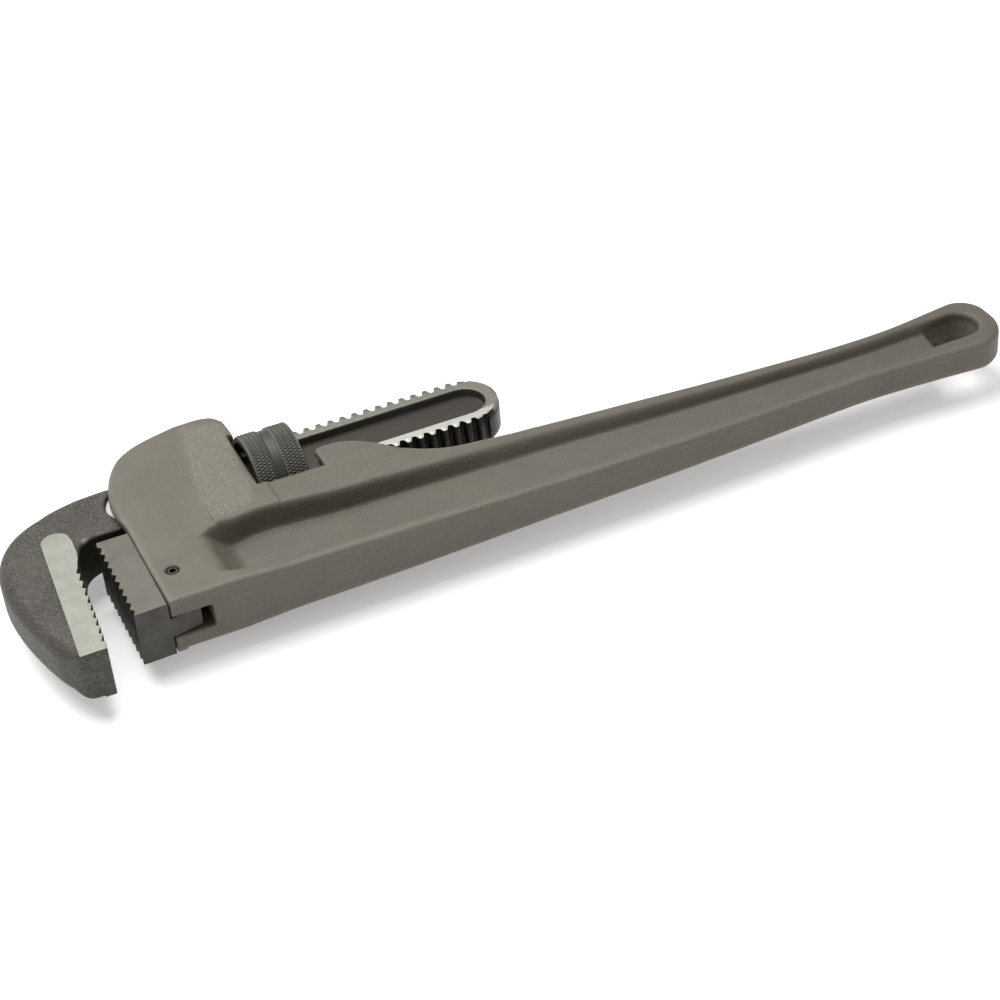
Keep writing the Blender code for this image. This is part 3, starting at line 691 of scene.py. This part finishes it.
def facet_share(points):
    """1 on the sloping band of the housing beside the nut's window, fading out at its edges. The band is
    painted lighter, partly for its rougher grain and partly as painted light where it tilts towards the key
    light.
    """
    x, y, z = points.T
    past_start, before_end = x - profile(y, FACET_START), profile(y, FACET_END) - x
    inside = soft_ramp(past_start, -1.5, 2.5) * soft_ramp(before_end, -1.0, 1.5)
    return inside * soft_ramp(y, 36, 44) * soft_ramp(114 - y, 0, 7) * (np.abs(z) > 8)


# Hook jaw

TOOTH_TIP_X, TOOTH_TIP_Y = -10.9, 37.3
TOOTH_LEAN, TOOTH_CROWN, TOOTH_STEP = 0.068, 0.0003, 5.07
NOSE_Y = -12.4
SHANK_HALF = 7.4
CREST_Y, ROOT_Y = 16.5, 13.6
PITCH, FIRST_CREST_X = 5.53, 103.9
THREAD_X0, SHANK_END_X, END_ROUND = 58.0, 187.3, 2.2
# The sunk panel in each side of the shank.
PANEL_X0, PANEL_X1, PANEL_R, PANEL_DEPTH = 40.0, 171.2, 9.9, 3.4
BEVEL_DEGREES = 25


def tooth_line(y, depth=0.0):
    crown = TOOTH_CROWN * (y - TOOTH_TIP_Y / 2) ** 2
    return TOOTH_TIP_X - TOOTH_LEAN * (TOOTH_TIP_Y - y) - crown - depth


def forging_outline():
    back = [(-22.0, NOSE_Y), (-26.4, -10.6), (-30.4, -5), (-33.5, 2), (-36.8, 14), (-39.3, 26), (-40.8, 38)]
    crown = [(-41.1, 48), (-40.0, 58.5), (-36.7, 68), (-31.3, 76), (-23.6, 82.2), (-14, 86.5), (-3, 89.2)]
    neck = [(8, 90.5), (18, 90.8)]
    throat = [(18, 60.6), (8, 61.0), (1.5, 60.9), (-3.0, 59.2), (-6.2, 56.0), (-8.0, 51.5)]
    behind = [(tooth_line(40, 1.8), 40), (tooth_line(NOSE_Y, 1.8), NOSE_Y)]
    line = flowing(back + crown + neck) + flowing(throat) + behind
    return [(x, max(y, NOSE_Y + 0.3)) for x, y in line]


def forging_field(grid):
    x, y, z = grid.x3, grid.y3, grid.z
    side = outline_distance(forging_outline(), grid.x, grid.y)[:, :, None]
    height = 10.9 - 1.4 * soft_ramp(grid.x, -16, 6) + 0.6 * soft_ramp(-grid.y, 0, 9)
    back = np.maximum(ramp(-grid.x, 17, 22), ramp(grid.y, 66, 74)) * ramp(grid.y, NOSE_Y, NOSE_Y + 7)
    back = back * (1 - ramp(grid.x, -16, 2))
    radius = (1.2 + 4.8 * back)[:, :, None]
    field = rounded_both(side, slab_height(height, z, grid.step), radius)
    shank_seat = np.maximum(np.hypot(x - 25.3, y - AXIS_Y) - 14.5, 7.0 - np.abs(z))
    return taken_from(field, shank_seat, 1.4)


def make_forging(finish):
    grid = Grid((-44, -15, -13.2), (20, 96, 13.2), HOOK_STEP)
    points, quads = surface(forging_field(grid), grid.low, grid.step)
    forging = new_mesh("hook_forging", points, quads, finish)
    x, y, z = points.T
    # A painted highlight spot at the throat's corner.
    highlight_spot = np.clip(1.4 - np.sqrt((x + 3.2) ** 2 + (y - 59.6) ** 2 + (z - 9.6) ** 2) / 1.6, 0, 1)
    set_attribute(forging, "painted_highlight", highlight_spot)
    # Painted shade on the throat's wall, which lies in the heel jaw's shadow.
    throat = soft_ramp(x, -10.5, -8.5) * soft_ramp(9.6 - np.abs(z), 0, 1.2) * (y < 63)
    set_attribute(forging, "painted_shade", throat)
    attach(forging, "hook")
    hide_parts("hook_jaw")


def tooth_bar_outline():
    line = arc(-14.3, 62.6, 6.1, 20, 176, 14) + [(-25.8, NOSE_Y), (tooth_line(NOSE_Y, 0.3), NOSE_Y)]
    for i in range(-9, 2):
        tip_y = TOOTH_TIP_Y + TOOTH_STEP * i
        notch_y = tip_y - 3.85
        if notch_y > NOSE_Y + 0.5:
            line.append((tooth_line(notch_y, 1.4), notch_y))
        line.append((tooth_line(tip_y), tip_y))
    return line + [(-10.3, 44.4), (-9.1, 47.6), (-8.3, 52), (-8.1, 56.5), (-8.0, 60.5)]


def extruded(name, outline, low, high, finish, bevel_mm):
    """A flat outline with thickness and small bevels on its edges."""
    bm = bmesh.new()
    face = bm.faces.new([bm.verts.new((x, y, low)) for x, y in outline])
    moved = bmesh.ops.extrude_face_region(bm, geom=[face])["geom"]
    top = [v for v in moved if isinstance(v, bmesh.types.BMVert)]
    bmesh.ops.translate(bm, verts=top, vec=(0, 0, high - low))
    bmesh.ops.recalc_face_normals(bm, faces=bm.faces)
    bmesh.ops.scale(bm, vec=(MM, MM, MM), verts=bm.verts)
    bmesh.ops.translate(bm, vec=ORIGIN, verts=bm.verts)
    mesh = bpy.data.meshes.new(name)
    bm.to_mesh(mesh)
    bm.free()
    mesh.shade_smooth()
    mesh.set_sharp_from_angle(angle=math.radians(BEVEL_DEGREES))
    obj = add_object(name, mesh, finish)
    modifier = obj.modifiers.new("worn edges", "BEVEL")
    modifier.width = bevel_mm * MM
    modifier.segments = 2
    modifier.limit_method = "ANGLE"
    modifier.angle_limit = math.radians(BEVEL_DEGREES)
    modifier.harden_normals = True
    return obj


def make_tooth_bar(finish, edges):
    """The bar with the hook's teeth, ground on its two sides and dark all round."""
    bar = extruded("hook_tooth_bar", tooth_bar_outline(), -11.3, 11.6, finish, 0.25)
    bar.data.materials.append(edges)
    for face in bar.data.polygons:
        face.material_index = int(abs(face.normal.z) < 0.7)
    # The lower back corner is drawn in, because the forging's underside is round there.
    for vert in bar.data.vertices:
        x, _, z = (vert.co - ORIGIN) / MM
        if x < -25 and z < 0:
            vert.co.x += 6.4 * MM
    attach(bar, "hook")


def thread_height(turn):
    """Height of one edge of the shank against the thread's phase, in turns, with 0 at a crest."""
    phase = np.abs((turn + 0.5) % 1 - 0.5)
    fall = soft_ramp(phase, 0.12, 0.40)
    return CREST_Y - (CREST_Y - ROOT_Y) * fall


def end_limit(x, side, z):
    """How far the shank reaches from its axis: a round corner on each edge, softer at its faces."""
    corner = 14.5 if side > 0 else 18.5
    reach = max(0.0, x - (SHANK_END_X - corner))
    past = np.maximum(np.abs(z) - (SHANK_HALF - END_ROUND), 0)
    inset = (END_ROUND - np.sqrt(np.maximum(END_ROUND**2 - past**2, 0))) * min(1.0, reach / 4)
    limit = CREST_Y + 0.3 - corner + np.sqrt(np.maximum((corner - inset) ** 2 - reach**2, 0))
    return np.minimum(limit, CREST_Y - 1.1 * (1 - soft_ramp(x, 18, 26)))


def half_thickness(x):
    past = max(0.0, x - (SHANK_END_X - END_ROUND))
    return SHANK_HALF - END_ROUND + math.sqrt(max(0.04, END_ROUND**2 - past**2))


def shank_ring(x):
    """Points round the shank: two edges with the thread, and two sides with a sunk panel."""
    half = half_thickness(x)
    across = np.linspace(half - 0.2, 0.2 - half, 9)
    side_y = side_columns(x)
    ring = []
    for side in (1, -1):
        limit = end_limit(x, side, across)
        turn = (x - FIRST_CREST_X) / PITCH + (0 if side > 0 else 0.5)
        # A crest follows the helix, so the phase shifts across the edge.
        height = thread_height(turn - np.arctan2(across, CREST_Y) / (2 * math.pi))
        height = CREST_Y + (height - CREST_Y) * soft_ramp(x, THREAD_X0, THREAD_X0 + 4)
        height = np.minimum(height, limit)
        ring.append((x, AXIS_Y + side * (height[0] - 0.2), side * half))
        ring += [(x, AXIS_Y + side * h, side * z) for h, z in zip(height, across)]
        ring.append((x, AXIS_Y + side * (height[-1] - 0.2), -side * half))
        flat = np.clip(side * side_y, 0.5 - end_limit(x, -1, half), end_limit(x, 1, half) - 0.5)
        ring += [(x, AXIS_Y + y, -side * (half - s)) for y, s in zip(flat, panel_depth(x, flat))]
    return ring


def side_columns(x):
    """Heights across a side from one edge to the other, along the panel's rim and its wall."""
    along = max(0.0, PANEL_X0 - x, x - PANEL_X1)
    rings = PANEL_R - np.array([-0.12, 0.05, 0.2, 0.35, 0.5, 0.65, 0.8, 0.95, 1.15, 2.5, 4.5, 7.0])
    inner = np.sqrt(np.maximum(rings**2 - along**2, 0)) + 0.004 * np.arange(12, 0, -1)
    upper = np.concatenate([np.linspace(13.0, inner[0] + 0.3, 6), inner])
    return np.concatenate([upper, -upper[::-1]])


def shank_rows():
    plain = np.arange(8, THREAD_X0, 1.0)
    threaded = np.arange(THREAD_X0, SHANK_END_X - 1, 0.32)
    end = SHANK_END_X - np.array([0.9, 0.6, 0.35, 0.15, 0.03])
    return np.array([shank_ring(x) for x in [*plain, *threaded, *end]])


def panel_depth(x, y):
    """How far the side is sunk at each height: a long panel with round ends."""
    along = max(0.0, PANEL_X0 - x, x - PANEL_X1)
    distance = np.hypot(along, y) - PANEL_R
    return PANEL_DEPTH * soft_ramp(-distance, -0.1, 1.0)


def make_shank(finish):
    rows = shank_rows()
    shank = grid_mesh("hook_shank", rows, finish, 50)
    for name, values in shank_tones(*rows.reshape(-1, 3).T).items():
        set_attribute(shank, name, values)
    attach(shank, "hook")


def shank_tones(x, y, z):
    """Where the shank is sunk, dark, darkest, and polished, from 0 to 1 at each point. Dark is the lower
    thread, with painted shade on the sunk panel's upper wall and where the shank lies in the housing and
    the nut; darkest is the thread's roots there, with painted shade where the shank goes into the nut; the
    polish is painted bright as a painted sheen.
    """
    off, inset = y - AXIS_Y, SHANK_HALF - np.abs(z)
    panel = np.abs(off) < 11
    # Painted shade on the sunk panel's upper wall.
    wall = panel * (off > 4) * ramp(inset, 0.3, 0.8) * (1 - ramp(inset, 2.7, 3.2))
    # Painted shade where the shank lies in the housing and the nut, and on its lower half just past the
    # nut.
    before_nut, past_nut = x < 74, x > 74
    shade_before_nut = 0.9 * soft_ramp(x, 46, 70) * before_nut
    shade_in_housing = np.maximum(shade_before_nut, past_nut * (x < 112) * (off < -4))
    edge = (inset > 0.1) * (off < -11) * (x > 30)
    groove = ramp(CREST_Y - np.abs(off), 0.3, 1.6) * (inset > 0.1) * ~panel
    return {
        "sunk": ramp(inset, 0.15, 0.9) * panel,
        "edge": np.maximum(np.maximum(edge, wall), shade_in_housing),
        # The thread's roots, and painted shade where the shank goes into the nut.
        "groove": np.maximum(groove, soft_ramp(x, 64, 70) * before_nut),
        # Polish, painted bright as a painted sheen.
        "polish_and_sheen": np.maximum(1 - soft_ramp(x, 20, 44), 0.8 * (off < -9) * past_nut),
    }


# Heel jaw, pin, nut and springs


def heel_outline():
    line = [(13.3, 0.3), (13.3, 52.6), (-0.2, 52.6)]
    for i in reversed(range(10)):
        tip_y = 4.6 + 5.0 * i
        line += [(-0.7, tip_y), (0.85, tip_y - 1.65)]
    return line + [(-0.6, 0.1), (2.0, 0.0)]


def make_heel_jaw(finish, teeth, end):
    block = extruded("heel_jaw_block", heel_outline(), -12.45, 12.45, finish, 0.35)
    block.data.materials.append(teeth)
    block.data.materials.append(end)
    for face in block.data.polygons:
        face.material_index = 2 if face.normal.y < -0.9 else int(face.normal.x < -0.3)
    tongue = [(12.5, 0.6), (26.5, 3.0), (26.5, 38.0), (12.5, 38.0)]
    root = extruded("heel_jaw_tongue", tongue, -4.6, 4.6, end, 0.4)
    for obj in (block, root):
        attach(obj, "handle")
    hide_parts("heel_jaw")


def make_pin(finish):
    """A roll pin: a spring tube with a narrow slit, and chamfered ends."""
    slit = math.radians(14)
    turn = np.linspace(slit / 2, 2 * math.pi - slit / 2, PIN_STEPS)
    rows = []
    for z, outer in ((-12.1, PIN_R - 0.4), (-11.5, PIN_R), (11.5, PIN_R), (12.1, PIN_R - 0.4)):
        ring = [(PIN_X + outer * math.cos(a), PIN_Y + outer * math.sin(a), z) for a in turn]
        bore = [(PIN_X + PIN_BORE * math.cos(a), PIN_Y + PIN_BORE * math.sin(a), z) for a in turn]
        rows.append(ring + bore[::-1])
    pin = grid_mesh("heel_jaw_roll_pin", np.array(rows), finish, 40, caps=False)
    close_ends(pin)
    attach(pin, "handle")
    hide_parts("heel_jaw_pin")


def close_ends(obj):
    """Fills the two open ends of a tube whose ring runs out along the outside and back along the inside."""
    bm = bmesh.new()
    bm.from_mesh(obj.data)
    bm.verts.ensure_lookup_table()
    around = 2 * PIN_STEPS
    for start in (0, len(bm.verts) - around):
        ring = [bm.verts[start + i] for i in range(around)]
        for i in range(PIN_STEPS - 1):
            bm.faces.new((ring[i], ring[i + 1], ring[around - 2 - i], ring[around - 1 - i]))
    bmesh.ops.recalc_face_normals(bm, faces=bm.faces)
    bm.to_mesh(obj.data)
    bm.free()
    obj.data.set_sharp_from_angle(angle=math.radians(40))


NUT_X0 = 71.9
NUT_R = 20.8
KNURLS_ROUND = 92
KNURL_PITCH_X = 3.5
KNURL_DEPTH = 0.38
NUT_BORE_R, NUT_RIDGE = 18.25, 2.9
BANDS = ((NUT_X0 + 0.6, NUT_X0 + 8.4), (NUT_X0 + 13.3, NUT_X1 - 0.8))


def triangle_wave(value):
    return 1 - 2 * np.abs(value % 1 - 0.5)


def knurl(x, angle):
    """Height of the knurl, 0 to 1, where two sets of slanting grooves cross."""
    across = angle / (2 * math.pi) * KNURLS_ROUND
    along = x / KNURL_PITCH_X
    point = np.minimum(triangle_wave(across + along), triangle_wave(across - along))
    return np.clip(point * 1.25, 0, 1)


def nut_outside(x, angle):
    """(radius, painted highlight) of the nut's outer face: two knurled bands and a plain groove, with the
    highlight painted on the knurl's points and the rims.
    """
    point = knurl(x, angle)
    (_, groove_x0), (groove_x1, _) = BANDS
    in_band = sum(soft_ramp(x, a - 0.2, a + 0.2) * (1 - soft_ramp(x, b - 0.2, b + 0.2)) for a, b in BANDS)
    groove = soft_ramp(x, groove_x0 - 0.1, groove_x0 + 0.3) * (x < groove_x1 - 0.6)
    edges = (BANDS[0][0] - 0.2, groove_x1 - 0.25, BANDS[1][1] + 0.2)
    rim = sum(np.exp(-(((x - edge) / 0.26) ** 2)) for edge in edges)
    plain = NUT_R - 0.35 - 0.35 * groove + 0.33 * rim
    ends = 0.8 * (1 - ramp(x, NUT_X0, NUT_X0 + 0.6)) + 0.9 * ramp(x, NUT_X1 - 0.7, NUT_X1)
    radius = plain + in_band * (NUT_R - KNURL_DEPTH + KNURL_DEPTH * point - plain) - ends
    # The second value is a painted highlight on the knurl's points and the rims.
    return radius, np.maximum(0.72 * in_band * point, 1.2 * rim)


def nut_inside(x, angle):
    """Radius of the nut's own thread, which stands in the shank's grooves."""
    trough = FIRST_CREST_X + PITCH / 2
    turn = (x - trough) / PITCH - angle / (2 * math.pi)
    phase = np.abs((turn + 0.5) % 1 - 0.5)
    ridge = 1 - soft_ramp(phase, 0.04, 0.28)
    faded = soft_ramp(x, NUT_X0 + 0.2, NUT_X0 + 1.6) * (1 - soft_ramp(x, NUT_X1 - 2.5, NUT_X1 - 0.5))
    return NUT_BORE_R - NUT_RIDGE * ridge * faded


def ring_about_axis(x, angle, radius):
    return np.stack([0 * angle + x, AXIS_Y + radius * np.cos(angle), radius * np.sin(angle)], axis=1)


def make_nut(finish):
    """Rings along the outside, back along the bore, and round to the first one again."""
    steps = 9 * KNURLS_ROUND
    angle = np.arange(steps) * 2 * math.pi / steps
    rows, knurl_highlight = [], []
    for x in np.linspace(NUT_X0, NUT_X1, 132):
        radius, high = nut_outside(x, angle)
        rows.append(ring_about_axis(x, angle, radius))
        knurl_highlight.append(high)
    for x in np.linspace(NUT_X1, NUT_X0, 44):
        radius = nut_inside(x, angle) + 0.4 * ramp(x, NUT_X1 - 0.6, NUT_X1)
        rows.append(ring_about_axis(x, angle, radius))
        knurl_highlight.append(0 * angle)
    rows.append(rows[0])
    knurl_highlight.append(knurl_highlight[0])
    nut = grid_mesh("knurled_nut", np.array(rows), finish, 60, caps=False)
    # Painted highlight on the knurl's points and rims.
    set_attribute(nut, "knurl_highlight", np.array(knurl_highlight).ravel())
    face_outwards(nut, merge=True)
    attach(nut, "nut")
    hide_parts("adjusting_nut")


COIL_LOW_Y, COIL_HIGH_Y = 41.4, 59.8
COIL_R, COIL_WIRE_R, COIL_TURNS, END_TURNS = 4.7, 0.7, 5.5, 0.8


def make_coil(finish):
    """The spring under the hook jaw's shank, with closed end turns."""
    turn = np.linspace(0, COIL_TURNS, int(COIL_TURNS * 40))
    low, high = COIL_LOW_Y + COIL_WIRE_R, COIL_HIGH_Y - COIL_WIRE_R
    end_pitch = 2.2 * COIL_WIRE_R
    closed = end_pitch * (np.minimum(turn, END_TURNS) + np.maximum(turn - COIL_TURNS + END_TURNS, 0))
    open_length = high - low - 2 * END_TURNS * end_pitch
    rise = open_length * ramp(turn, END_TURNS, COIL_TURNS - END_TURNS)
    around = 2 * math.pi * turn[:, None]
    wire_angle = np.arange(16)[None, :] * math.pi / 8
    radius = COIL_R + COIL_WIRE_R * np.cos(wire_angle)
    x = COIL_X + radius * np.cos(around)
    y = (low + closed + rise)[:, None] + COIL_WIRE_R * np.sin(wire_angle)
    rows = np.stack([x, y + 0 * x, radius * np.sin(around)], axis=2)
    coil = grid_mesh("coil_spring_wire", rows, finish, 60)
    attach(coil, "handle")
    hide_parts("coil_spring")
    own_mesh(coil)


def repaint(node, finish):
    """Gives a carried-over CAD node its material."""
    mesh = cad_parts[node].data
    mesh.materials.clear()
    mesh.materials.append(finish)


# Stage

CAMERA_MM = (-118.35, -697.14, 561.01)
CAMERA_DEGREES = (53.524, 4.248, -24.488)
CAMERA_LENS, CAMERA_SENSOR = 82.84, 36


def make_camera():
    data = bpy.data.cameras.new("camera")
    data.lens = CAMERA_LENS
    data.sensor_width = CAMERA_SENSOR
    camera = bpy.data.objects.new("camera", data)
    bpy.context.scene.collection.objects.link(camera)
    turn = Euler([math.radians(angle) for angle in CAMERA_DEGREES]).to_matrix()
    camera.matrix_world = Matrix.Translation(place(*CAMERA_MM)) @ turn.to_4x4()
    bpy.context.scene.camera = camera


def make_key_light():
    """A wide soft disk above and behind the wrench, with its place and target in metres."""
    data = bpy.data.lights.new("key", "AREA")
    data.shape = "DISK"
    data.size = 1.2
    data.energy = KEY_POWER
    light = bpy.data.objects.new("key", data)
    light.location = (-0.22, 0.40, 0.98)
    aim = Vector((-0.05, 0.05, 0)) - light.location
    light.rotation_euler = aim.to_track_quat("-Z", "Y").to_euler()
    bpy.context.scene.collection.objects.link(light)


def make_floor():
    bm = bmesh.new()
    bmesh.ops.create_grid(bm, x_segments=1, y_segments=1, size=FLOOR_HALF)
    mesh = bpy.data.meshes.new("floor")
    bm.to_mesh(mesh)
    bm.free()
    made, tree, shader = new_material("pale_floor")
    shader.inputs["Base Color"].default_value = (FLOOR_TONE, FLOOR_TONE, FLOOR_TONE, 1)
    shader.inputs["Emission Color"].default_value = (1, 1, 1, 1)
    shader.inputs["Emission Strength"].default_value = FLOOR_GLOW
    shader.inputs["Roughness"].default_value = 0.9
    shader.inputs["Specular IOR Level"].default_value = 0.1
    floor_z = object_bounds()[0][2] - FLOOR_GAP
    floor = add_object("floor", mesh, made)
    floor.location = (0, 0, floor_z)


def make_world():
    """Even white light, whose backdrop has the tone of the floor far from the key light."""
    world = bpy.data.worlds.new("studio")
    world.use_nodes = True
    tree = world.node_tree
    background = tree.nodes["Background"]
    background.inputs["Color"].default_value = (1, 1, 1, 1)
    backdrop = FLOOR_TONE * WORLD_STRENGTH + FLOOR_GLOW
    camera_ray = tree.nodes.new("ShaderNodeLightPath").outputs["Is Camera Ray"]
    seen = maths(tree, "MULTIPLY", camera_ray, backdrop - WORLD_STRENGTH)
    wire(tree, maths(tree, "ADD", seen, WORLD_STRENGTH), background.inputs["Strength"])
    bpy.context.scene.world = world


WORLD_STRENGTH = 0.45
FLOOR_HALF, FLOOR_GAP = 6.0, 0.0005
FLOOR_TONE = 0.93
FLOOR_GLOW = 0.30
KEY_POWER = 19.0
HANDLE_STEP = 0.7
HOOK_STEP = 0.6


def main():
    cast = cast_aluminium()
    forged = forged_steel()
    bar = ground_steel("ground_tooth_bar", GROUND_LIGHT, GROUND_DARK)
    heel = ground_steel("heel_jaw_steel", HEEL_LIGHT, HEEL_DARK, (0.06, 1, 1))
    end = ground_steel("heel_end_steel", HEEL_END, NUT_MID, (0.06, 1, 1), 0.5, (0.45, 0.6))
    teeth = ground_steel("heel_teeth_steel", NUT_DARK, TEETH_TONE, (0.06, 1, 1), 0.6, (0.35, 0.5))
    pin = ground_steel("pin_steel", NUT_MID, NUT_DARK, (1, 1, 0.1))
    spring = ground_steel("spring_steel_wire", SPRING_TONE, NUT_DARK, (1, 1, 1))
    make_handle(cast)
    make_forging(forged)
    make_tooth_bar(bar, forged)
    make_shank(shank_steel())
    make_heel_jaw(heel, teeth, end)
    make_pin(pin)
    make_nut(nut_steel())
    make_coil(spring)
    repaint("flat_spring", spring)
    repaint("flat_spring_rivet", heel)
    make_camera()
    make_floor()
    make_key_light()
    make_world()
    bpy.context.scene.view_settings.view_transform = "Standard"


main()
